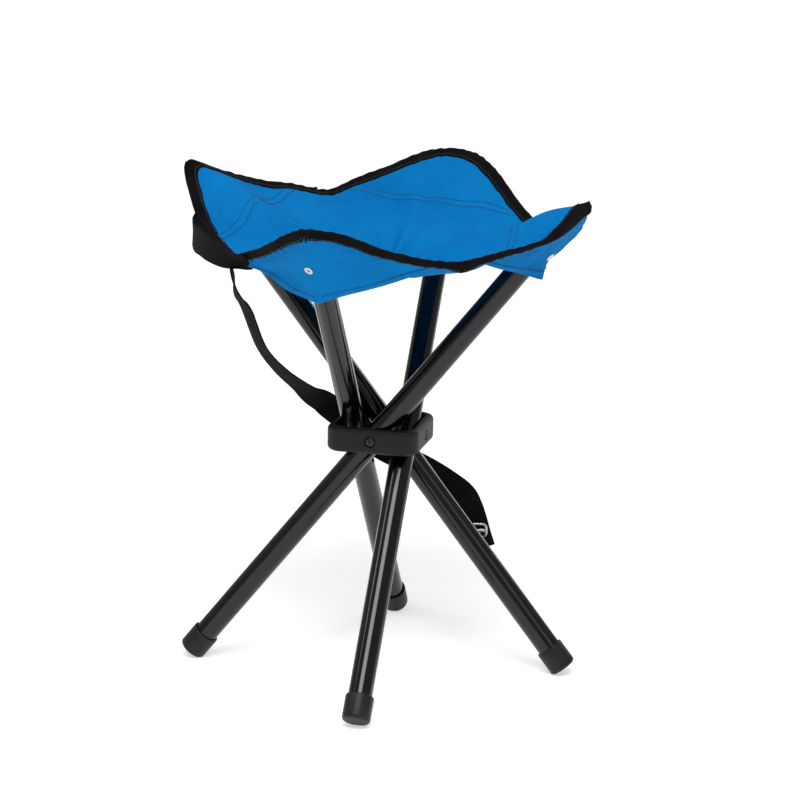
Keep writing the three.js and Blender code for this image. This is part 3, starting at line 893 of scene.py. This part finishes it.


def edge_of(side, direction):
    """The edge that an ear's half lies on is named after the ear that it starts from."""
    return side if direction > 0 else neighbour(side, -1)


def bend_of(side, direction):
    """Start and end of the bend for the cloth and the tape, and for the pocket, in the row frame."""
    hinge = turned(side, HINGE)
    centre = np.array([0, 0, CAD_CENTRE_HEIGHT])
    inward = unit(centre - from_ear(side, (CAD_EAR_REACH, 0, CAD_EAR_HEIGHT)))
    reach, height = CAD_EDGES[edge_of(side, direction)]
    along = reach * math.sqrt(0.5)
    rim = unit(from_ear(side, (along, direction * along, height)) - hinge)
    leg = unit(from_leg(side, (0, 0, 1)) - from_leg(side, (0, 0, 0)))
    across = unit(rim - (rim @ leg) * leg)
    rim_reach = SOFT_REACH / (inward @ rim)
    cloth = above_pivots(hinge), above_pivots(hinge + SOFT_REACH * inward)
    pocket = above_pivots(hinge), above_pivots(hinge + rim_reach * (rim @ across) * across)
    return cloth, pocket


def follow(piece, side, direction):
    """Works out the bend from a piece's leg to the panel beside it, and bakes the piece's placing into its
    points.
    """
    cloth, sleeve = bend_of(side, direction)
    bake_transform(piece)


# ---- seat cloth
# On the diagonal, then at the rim: along and square, as shares of the half diagonal.
SEAMS = {"right": (0.645, 0.62, 0.38), "back": (0.57, 0.545, 0.455), "left": (0.645, 0.65, 0.35),
         "front": (0.645, 0.62, 0.38)}
SEAM_ENDS = {("left", 1): (0.665, 0.335), ("left", -1): (0.605, 0.395)}
SEAM_ROW = 3.2  # from the seam to either row of stitches
FELL_HALF, FELL_STEP = 4.6, 0.9  # half the folded seam's width, and over how far its edges rise


def seam_place(side, direction):
    on_diagonal, at_rim, square = SEAMS[side]
    at_rim, square = SEAM_ENDS.get((side, direction), (at_rim, square))
    return on_diagonal, at_rim, square


def seam_line(side, direction, offset):
    """Points and normals along an ear's seam, offset along the diagonal on the flat cloth."""
    on_diagonal, at_rim, square = seam_place(side, direction)
    b = np.linspace(0.4, square * HALF_DIAGONAL - 3.5, 90)
    a = HALF_DIAGONAL * (on_diagonal + (at_rim - on_diagonal) * b / (square * HALF_DIAGONAL)) + offset
    v = (a + b) / HALF_DIAGONAL
    share = 2 * b / (a + b)
    u = 2 * SIDES.index(side) + direction * share
    keep = v < 0.97
    return seat_surface(u[keep], v[keep]), seat_normal(u[keep], v[keep])


def seat_half(side, direction):
    """One of the seat's eight triangles, with its part of the ear's seam."""
    other = neighbour(side, direction)
    columns = half_columns(side, direction)
    u, v, p, n = (grid[columns] for grid in (GRID_U, GRID_V, GRID_P, GRID_N))
    x, y, a, b = flat_square(u - 1e-6 * direction, v)
    flat = np.stack([x * MM, y * MM, np.zeros_like(x)], -1)
    on_diagonal, at_rim, square = seam_place(side, direction)
    seam = HALF_DIAGONAL * (on_diagonal + (at_rim - on_diagonal) * np.abs(b) / (square * HALF_DIAGONAL))
    off = a - seam
    band = np.clip((FELL_HALF - np.abs(off)) / FELL_STEP, 0, 1)
    outer = np.clip((off + FELL_HALF) / FELL_STEP, 0, 1)
    dimple = np.exp(-((np.abs(off) - SEAM_ROW) / 0.7) ** 2)
    pulled = 1 + 0.6 * np.sin(np.abs(b) * 2 * math.pi / STITCH_PITCH)
    bulge = 0.45 * band + 0.12 * outer - 0.16 * dimple * pulled
    piece = thick_sheet(f"seat_cloth_{side}_{other}", p, n, CLOTH_T, CLOTH, flat, True, bulge)
    rows = []
    for number, offset in ((1, -SEAM_ROW), (2, SEAM_ROW)):
        line, up = seam_line(side, direction, offset)
        name = f"seam_stitches_{side}_{other}_{number}"
        rows.append(stitches(name, line + up * (CLOTH_T / 2 + 0.38), up, BLUE_THREAD))
    for part in [piece] + rows:
        follow(part, side, direction)
    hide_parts(f"seat_{side}_{other}")


# ---- pockets: a flap under each half of an ear
# Each flap's hem meets the rim at this share of the half edge.
FLAP_ENDS = {("front", 1): 0.92, ("right", -1): 0.90}
FLAP_END = 0.95
FLAP_R = 13.2  # its middle surface round the tube
FLAP_CLOSES = 255.0  # along the leg: from here the flap closes over the tube's end
FLAP_HEMS = {"right": 220.5, "back": 210.0, "left": 208.0, "front": 203.0}
FLAP_FLARES = {"right": 7.0, "back": 4.0, "left": 4.0, "front": 3.0}  # how far the hem stands off the tube
FLAP_BULGES = {("right", 1): 6.0}
UNDER_CLOTH = 1.2
HEM_WIDTH = 8.0


def flap_end(side, direction):
    return FLAP_ENDS.get((side, direction), FLAP_END)


def tip_along_leg(side):
    """How far along its leg an ear's tip is."""
    return to_leg(side, from_ear(side, EAR_TIPS[side]))[2]


def flap_surface(side, direction, share, q):
    """The flap's middle surface: q runs from the rim (0) to the leg's outer line (1)."""
    share, q = np.broadcast_arrays(np.asarray(share, float), np.asarray(q, float))
    u = 2 * SIDES.index(side) + direction * share
    edge = seat_surface(u, np.ones_like(u)) - seat_normal(u, np.ones_like(u)) * UNDER_CLOTH
    local = to_leg(side, edge)
    x, y, z = local[..., 0], local[..., 1] * direction, local[..., 2]
    tip = to_leg(side, from_ear(side, EAR_TIPS[side]))
    start = tip[2] + (FLAP_HEMS[side] - tip[2]) * (share / flap_end(side, direction))
    closing = np.clip((start - FLAP_CLOSES) / (tip[2] - FLAP_CLOSES), 0, 1)
    radius = FLAP_R * np.sqrt(1 - closing ** 2) + 0.3
    below_rivet = np.clip((RIVET_ALONG - 4 - start) / (RIVET_ALONG - 4 - FLAP_HEMS[side]), 0, 1)
    middle = tip[0] * closing ** 1.5 + FLAP_FLARES[side] * below_rivet ** 1.4
    dx = x - middle
    distance = np.maximum(np.hypot(dx, y), radius * 1.001)
    tangent = np.maximum(np.arctan2(y, dx) - np.arccos(radius / distance), 0)
    round_part = radius * tangent
    from_x, from_y = middle + radius * np.cos(tangent), radius * np.sin(tangent)
    straight = np.hypot(x - from_x, y - from_y)
    total = round_part + straight
    gone = (1 - q) * total
    angle = np.minimum(gone, round_part) / radius
    rest = np.clip((gone - round_part) / np.maximum(straight, 1e-6), 0, 1)
    on_x = np.where(gone < round_part, middle + radius * np.cos(angle), from_x + (x - from_x) * rest)
    on_y = np.where(gone < round_part, radius * np.sin(angle), from_y + (y - from_y) * rest)
    on_z = start + (z - start) * (1 - q)
    return from_leg(side, np.stack([on_x, on_y * direction, on_z], -1))


def flap_normal(side, direction, share, q):
    """Outwards: away from the tube and the seat."""
    step = 2e-3
    s = np.clip(share, step, flap_end(side, direction))
    t = np.clip(q, step, 1 - step)
    by_share = flap_surface(side, direction, s + step, t) - flap_surface(side, direction, s - step, t)
    by_q = flap_surface(side, direction, s, t + step) - flap_surface(side, direction, s, t - step)
    return unit(np.cross(by_q, by_share)) * direction


def pocket_flap(side, direction):
    """The pocket's outer cloth under one half of an ear, with its hem."""
    other = neighbour(side, direction)
    end = flap_end(side, direction)
    share = end * np.linspace(0, 1, 81)[:, None] ** 0.9
    q = np.linspace(0, 1, 57)[None, :]
    share, q = np.broadcast_arrays(share, q)
    p = flap_surface(side, direction, share, q)
    n = flap_normal(side, direction, share, q)
    drop = tip_along_leg(side) - FLAP_HEMS[side]
    edge = np.linalg.norm(np.diff(p[:, 0], axis=0), axis=1).sum() / end
    width = np.linalg.norm(np.diff(p, axis=1), axis=-1).sum(1)
    from_rim = q * width[:, None]
    from_middle = (1 - q) * width[:, None]
    free = np.clip((from_rim - 10) / 25, 0, 1) * np.clip((from_middle - 9) / 25, 0, 1)
    pleats = np.exp(-((from_rim - 13) / 11) ** 2) * hash_wave(share * 13, q * 0.8, 21 + SIDES.index(side))
    seed = 30 + 2 * SIDES.index(side) + (direction > 0)
    bulge = np.exp(-((from_middle - 15) / 7) ** 2) * np.sin(math.pi * share / end)
    lift = free * 2.2 * hash_wave(share * 1.6, q * 1.3, seed) + 0.6 * pleats * np.clip(share * 4, 0, 1)
    p = p + n * (lift + FLAP_BULGES.get((side, direction), 0) * bulge)[..., None]
    from_hem = (end - share) * (drop / end * q + edge * (1 - q))
    hem = np.clip((HEM_WIDTH - from_hem) / 0.8, 0, 1)
    dimple = np.exp(-((from_hem - HEM_WIDTH + 1.2) / 0.8) ** 2)
    flat = np.stack([share * edge * MM, from_rim * MM, np.zeros_like(q)], -1)
    relief = 0.5 * hem - 0.15 * dimple
    piece = thick_sheet(f"pocket_flap_{side}_{other}", p, n, CLOTH_T, CLOTH, flat, bulge=relief)
    line_q = np.linspace(0.03, 0.985, 160)
    line_share = end - (HEM_WIDTH - 1.2) / (drop / end * line_q + edge * (1 - line_q))
    line = sample_grid(p, share[:, 0], q[0], line_share, line_q)
    up = unit(sample_grid(n, share[:, 0], q[0], line_share, line_q))
    sewing = stitches(f"hem_stitches_{side}_{other}", line + up * (CLOTH_T / 2 + 0.3), up, BLUE_THREAD)
    for part in (piece, sewing):
        follow(part, side, direction)


def sample_grid(values, rows, columns, at_rows, at_columns):
    """Values of a grid at the given pairs of row and column."""
    i = np.clip(np.searchsorted(rows, at_rows) - 1, 0, len(rows) - 2)
    j = np.clip(np.searchsorted(columns, at_columns) - 1, 0, len(columns) - 2)
    s = ((at_rows - rows[i]) / (rows[i + 1] - rows[i]))[:, None]
    t = ((at_columns - columns[j]) / (columns[j + 1] - columns[j]))[:, None]
    return ((values[i, j] * (1 - t) + values[i, j + 1] * t) * (1 - s)
            + (values[i + 1, j] * (1 - t) + values[i + 1, j + 1] * t) * s)


# ---- binding tape, folded over the rim
TAPE_LEG = 9.2  # how far the tape reaches over the cloth, on either face
TAPE_T = 0.9
TAPE_CLEAR = 0.95  # from the cloth's middle surface to the tape's
TAPE_SEWN = 7.2  # from the rim to the stitches
THREAD_LIFT = 0.62  # from the tape's middle surface to the thread's


def tape_half(side, direction):
    """The tape along one half of an edge, from an ear's tip to the edge's middle."""
    other = neighbour(side, direction)
    share = np.linspace(0, 1, 101)
    u = 2 * SIDES.index(side) + direction * share
    wave = 0.35 * hash_wave(u * 9, np.zeros_like(u), 41)
    edge_v = np.ones_like(u)
    rim = seat_surface(u, edge_v)

    def rim_at(part):
        return seat_surface(2 * SIDES.index(side) + direction * part, edge_v)

    # At the ear's tip both halves stand off the cloth along the ear's own middle plane, so that they meet.
    sideways = unit(turned(side, np.array([0.0, 1.0, 0.0])))
    at_tip = np.clip(1 - share / 0.05, 0, 1)[:, None]

    def level(normals):
        return unit(normals - sideways * (normals @ sideways)[:, None] * at_tip)

    def on_seat(distance, lift):
        v = 1 - (distance + wave) / (CLOTH_SIDE / 2)
        return seat_surface(u, v) + level(seat_normal(u, v)) * lift

    # Beyond the flap the tape's outer leg hangs from the rim, alike on both sides of the edge's middle.
    end = flap_end(side, direction)
    limited = np.minimum(share, end)
    steps = np.linspace(0, 1, 41)
    sections = flap_surface(side, direction, limited[:, None], steps[None, :])
    width = np.linalg.norm(np.diff(sections, axis=1), axis=-1).sum(1)
    outwards = unit(edge_middle(edge_of(side, direction)) * [1, 1, 0])
    hanging = unit(-0.25 * outwards - [0, 0, 1.0])
    facing = unit(outwards - 0.25 * np.array([0, 0, 1.0]))
    past = np.clip((share - end) / (1 - end), 0, 1)
    past = (past * past * (3 - 2 * past))[:, None]

    def on_flap(distance):
        # Near the ear's tip the flap is narrower than the tape, which goes on down the leg's outer line.
        q = np.clip((distance + wave) / np.maximum(width, 1), 0, 0.985)
        over = np.maximum(distance + wave - width, 0) * np.clip(1 - share / 0.3, 0, 1)
        lower = limited + over * end / (tip_along_leg(side) - FLAP_HEMS[side])
        start = flap_surface(side, direction, limited, np.zeros_like(q))
        down = flap_surface(side, direction, lower, q) - start
        down = down * (1 - past) + hanging * np.linalg.norm(down, axis=-1)[:, None] * past
        lift = level(unit(flap_normal(side, direction, lower, q) * (1 - past) + facing * past))
        return rim + (start - rim_at(limited)) * (1 - past) + down + lift * TAPE_CLEAR

    reaches = (TAPE_LEG, TAPE_SEWN, 5.2, 3.0, 0.8)
    inner = [on_seat(d, TAPE_CLEAR) for d in reaches]
    outer = [on_flap(d) for d in reaches[::-1]]
    inwards = unit(inner[3] - inner[4]) + unit(outer[1] - outer[0])
    controls = np.stack(inner + [rim - unit(inwards) * 1.5] + outer, 1)
    strip = np.stack([smooth_curve(row, 3) for row in controls])
    normals = grid_normals(strip)
    seat_up = seat_normal(u, edge_v)
    if np.mean((normals[:, 0] * seat_up).sum(-1)) < 0:
        normals = -normals
    run = run_along(rim)
    across = np.linspace(-TAPE_LEG, TAPE_LEG, strip.shape[1])
    flat = np.zeros(strip.shape)
    flat[..., 0] = run[:, None] * MM
    flat[..., 1] = across[None, :] * MM
    piece = thick_sheet(f"binding_tape_{side}_{other}", strip, normals, TAPE_T, TAPE, flat)
    lower = on_flap(TAPE_SEWN)
    lower_up = unit(np.cross(np.gradient(lower, axis=0), lower - on_flap(5.2))) * -direction
    sewn = ((1, on_seat(TAPE_SEWN, TAPE_CLEAR + THREAD_LIFT), seat_up),
            (2, lower + lower_up * THREAD_LIFT, lower_up))
    rows = [stitches(f"tape_stitches_{side}_{other}_{number}", line, up, BLACK_THREAD)
            for number, line, up in sewn]
    for part in [piece] + rows:
        follow(part, side, direction)
    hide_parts(f"edge_tape_{side}_{other}")


# ---- rigid pieces
def along_leg(side):
    """Places a piece turned about a leg's own axis."""
    return lambda p: above_pivots(from_leg(side, p))


def leg_tube(side):
    bottom = -LEG_BELOW_PIVOT + CAP_FLOOR + GAP
    inner = TUBE_R - TUBE_WALL
    profile = [(inner, bottom), (TUBE_R, bottom), (TUBE_R, TUBE_ABOVE_PIVOT), (inner, TUBE_ABOVE_PIVOT)]
    rigid(lathe(profile, 96, along_leg(side), f"tube_{side}", TUBE), f"leg_{side}", f"leg_tube_{side}")


def foot_cap(side):
    """The cap's lowest edge is worn level, where it stands on the floor."""
    bottom = -LEG_BELOW_PIVOT
    top = bottom + CAP_LENGTH
    inner = TUBE_R + GAP
    profile = [(0, bottom)] + arc((CAP_R - CAP_EDGE_R, bottom + CAP_EDGE_R), CAP_EDGE_R, -90, 0, 10)
    profile += arc((CAP_R - 1, top - 1), 1, 0, 90, 5)
    profile += [(inner + 0.15, top), (inner, top - 0.3), (inner, bottom + CAP_FLOOR), (0, bottom + CAP_FLOOR)]

    def place(p):
        placed = from_leg(side, p)
        placed[..., 2] = np.maximum(placed[..., 2], -PIVOT_HEIGHT)
        return above_pivots(placed)
    rigid(lathe(profile, 96, place, f"cap_{side}", FOOT), f"leg_{side}", f"foot_cap_{side}")


def pocket_sleeve(side):
    """The pocket's snug lining, a blind sleeve over the end of the tube."""
    inner, outer, end = TUBE_R + 0.2, TUBE_R + 0.85, TUBE_ABOVE_PIVOT
    hem = FLAP_HEMS[side] + 3
    profile = [(inner, hem), (outer, hem), (outer, end - 3), (outer - 1.5, end + 1), (outer - 5, end + 4.2),
               (0, end + 5.0), (0, end + 4.4), (outer - 5, end + 3.6), (inner - 1, end + 1), (inner, end - 3)]
    piece = lathe(profile, 64, along_leg(side), f"pocket_sleeve_{side}", CLOTH)
    count = len(piece.data.vertices)
    points = np.empty(count * 3)
    piece.data.vertices.foreach_get("co", points)
    local = to_leg(side, points.reshape(-1, 3) / MM - [0, 0, PIVOT_HEIGHT])
    round_tube = np.arctan2(local[:, 1], local[:, 0]) * outer
    set_flat(piece.data, np.stack([round_tube * MM, local[:, 2] * MM, np.zeros(count)], -1))
    rigid(piece, f"leg_{side}", f"pocket_{side}", f"ear_tip_{side}")


RIVET_FLANGE_R, RIVET_FLANGE_T, RIVET_SHANK_R, RIVET_BORE_R = 4.2, 1.2, 2.2, 1.2


def rivet(side):
    """A tubular rivet with a rolled flange, pointing along the leg's own x axis."""
    seat = POCKET_R + GAP
    bottom, top = seat - RIVET_REACH, seat + RIVET_FLANGE_T
    bore_r = RIVET_BORE_R
    profile = [(bore_r, bottom), (RIVET_SHANK_R, bottom), (RIVET_SHANK_R, seat)]
    profile += [(RIVET_FLANGE_R - 0.25, seat)]
    profile += arc((RIVET_FLANGE_R - 0.45, seat + 0.45), 0.45, -45, 80, 5)
    profile += [(RIVET_FLANGE_R - 1.3, top), (bore_r + 0.8, top - 0.05)]
    profile += [(bore_r + 0.25, top - 0.35), (bore_r, top - 0.8)]

    def place(p):
        pointing_out = np.stack([p[:, 2], p[:, 1], RIVET_ALONG - p[:, 0]], -1)
        return above_pivots(from_leg(side, spin(pointing_out, RIVET_TURN)))
    piece = lathe(profile, 48, place, f"pocket_rivet_{side}", NICKEL, math.radians(50))
    # A thin dark disc of black oxide across the rivet's bore, at the foot of its flange: painted shade in
    # place of the dark inside of the hollow rivet.
    bore = [(0, seat - 0.1), (bore_r + 0.05, seat - 0.1), (bore_r + 0.05, seat + 0.15), (0, seat + 0.15)]
    painted_shade_disc = lathe(bore, 24, place, f"pocket_rivet_painted_shade_disc_{side}", SCREW)
    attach(painted_shade_disc, f"leg_{side}")
    rigid(piece, f"leg_{side}", f"rivet_{side}")


def facing_out(side):
    """Places a piece turned about a pivot's axis, at a hub side's middle, pointing out of the hub."""
    return lambda p: above_pivots(turned(side, np.stack([p[:, 0], -p[:, 2], p[:, 1]], -1)))


def pivot_screw(side):
    head = HUB_HALF - SCREW_RECESS + GAP
    tip = PIVOT_OFFSET - TUBE_R - GAP - 4.5
    top = head + SCREW_HEAD_T
    profile = [(0, tip), (SCREW_R - 0.3, tip), (SCREW_R, tip + 0.3), (SCREW_R, head)]
    dome = ((1, 0), (1, 1.2), (0.94, 1.75), (0.78, 2.2), (0.5, SCREW_HEAD_T - 0.12))
    profile += [(SCREW_HEAD_R * share, head + lift) for share, lift in dome] + [(0, top)]
    piece = lathe(profile, 64, facing_out(side), f"screw_{side}", SCREW)
    faces = [(3, 2, 1, 0), (4, 5, 6, 7), (0, 1, 5, 4), (1, 2, 6, 5), (2, 3, 7, 6), (3, 0, 4, 7)]
    for width, height, depth in ((2.5, 0.55, 1.5), (0.55, 2.5, 1.6)):
        corners = ((-width, -height), (width, -height), (width, height), (-width, height))
        box = [(x * in_x, y * in_y, z) for z, in_x, in_y in ((top - depth, 0.7, 0.9), (top + 1, 1.0, 1.0))
               for x, y in corners]
        cut(piece, add_piece("slot_tool", facing_out(side)(np.array(box, float)), faces, SCREW))
    piece.data.set_sharp_from_angle(angle=math.radians(35))
    rigid(piece, "hub", f"pivot_screw_{side}")


def hub_ring():
    """The moulded ring: one section swept round a rounded square."""
    height, edge = HUB_HALF_HEIGHT, HUB_FILLET
    lip = 0.7
    outside = [(edge * (1 - math.sin(t)), height - edge * (1 - math.cos(t)))
               for t in np.linspace(0, math.pi / 2, 9)]
    outside += [(offset, -z) for offset, z in outside[::-1]]
    inside = [(0, height - lip), (-lip * 0.3, height - lip * 0.3), (-lip, height)]
    inside = [(offset, -z) for offset, z in inside[::-1]] + inside
    section = [(HUB_HALF, HUB_CORNER_R, *point) for point in outside]
    section += [(HUB_INNER_HALF, HUB_INNER_R, *point) for point in inside]
    rings = []
    for half, radius, offset, z in section:
        outline = rounded_rectangle(2 * (half - offset), 2 * (half - offset), radius - offset, 14)
        rings.append(np.column_stack([outline, np.full(len(outline), z)]))
    verts = np.concatenate(rings)
    rows, columns = len(rings), len(rings[0])
    faces = tile(rows, columns, wrap=True)
    last = (rows - 1) * columns
    faces += [(last + j, last + (j + 1) % columns, (j + 1) % columns, j) for j in range(columns)]
    piece = add_piece("hub_ring", above_pivots(verts), faces, HUB, math.radians(40))
    recess, bore, rim = HUB_HALF - SCREW_RECESS, SCREW_R + 0.35, SCREW_RECESS_R + 0.6
    profile = [(0, HUB_INNER_HALF - 2), (bore, HUB_INNER_HALF - 2), (bore, recess), (SCREW_RECESS_R, recess),
               (SCREW_RECESS_R, HUB_HALF - 0.5), (rim, HUB_HALF + 0.1), (rim, HUB_HALF + 2)]
    profile += [(0, HUB_HALF + 2)]
    for side in SIDES:
        cut(piece, lathe(profile, 48, facing_out(side), "drill", HUB))
    piece.data.set_sharp_from_angle(angle=math.radians(40))
    even = piece.modifiers.new("even_shading", "WEIGHTED_NORMAL")
    even.keep_sharp = True
    rigid(piece, "hub", "hub")


def repaint(node, look):
    """A CAD node that is shown as it is takes a look of its own."""
    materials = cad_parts[node].data.materials
    materials.clear()
    materials.append(look.material)


def make_floor():
    half = 40.0  # in metres
    mesh = bpy.data.meshes.new("floor")
    corners = [(-half, -half, 0), (half, -half, 0), (half, half, 0), (-half, half, 0)]
    mesh.from_pydata(corners, [], [(0, 1, 2, 3)])
    mesh.materials.append(floor_look().material)
    floor = bpy.data.objects.new("floor", mesh)
    bpy.context.scene.collection.objects.link(floor)


make_floor()
make_cords()
hub_ring()
for side in SIDES:
    leg_tube(side)
    foot_cap(side)
    pivot_screw(side)
    rivet(side)
    pocket_sleeve(side)
    repaint(f"top_plug_{side}", PLUG)
    repaint(f"pivot_nut_{side}", SCREW)
    repaint(f"spacer_washer_{side}", PLUG)
    for direction in (1, -1):
        seat_half(side, direction)
        pocket_flap(side, direction)
        tape_half(side, direction)
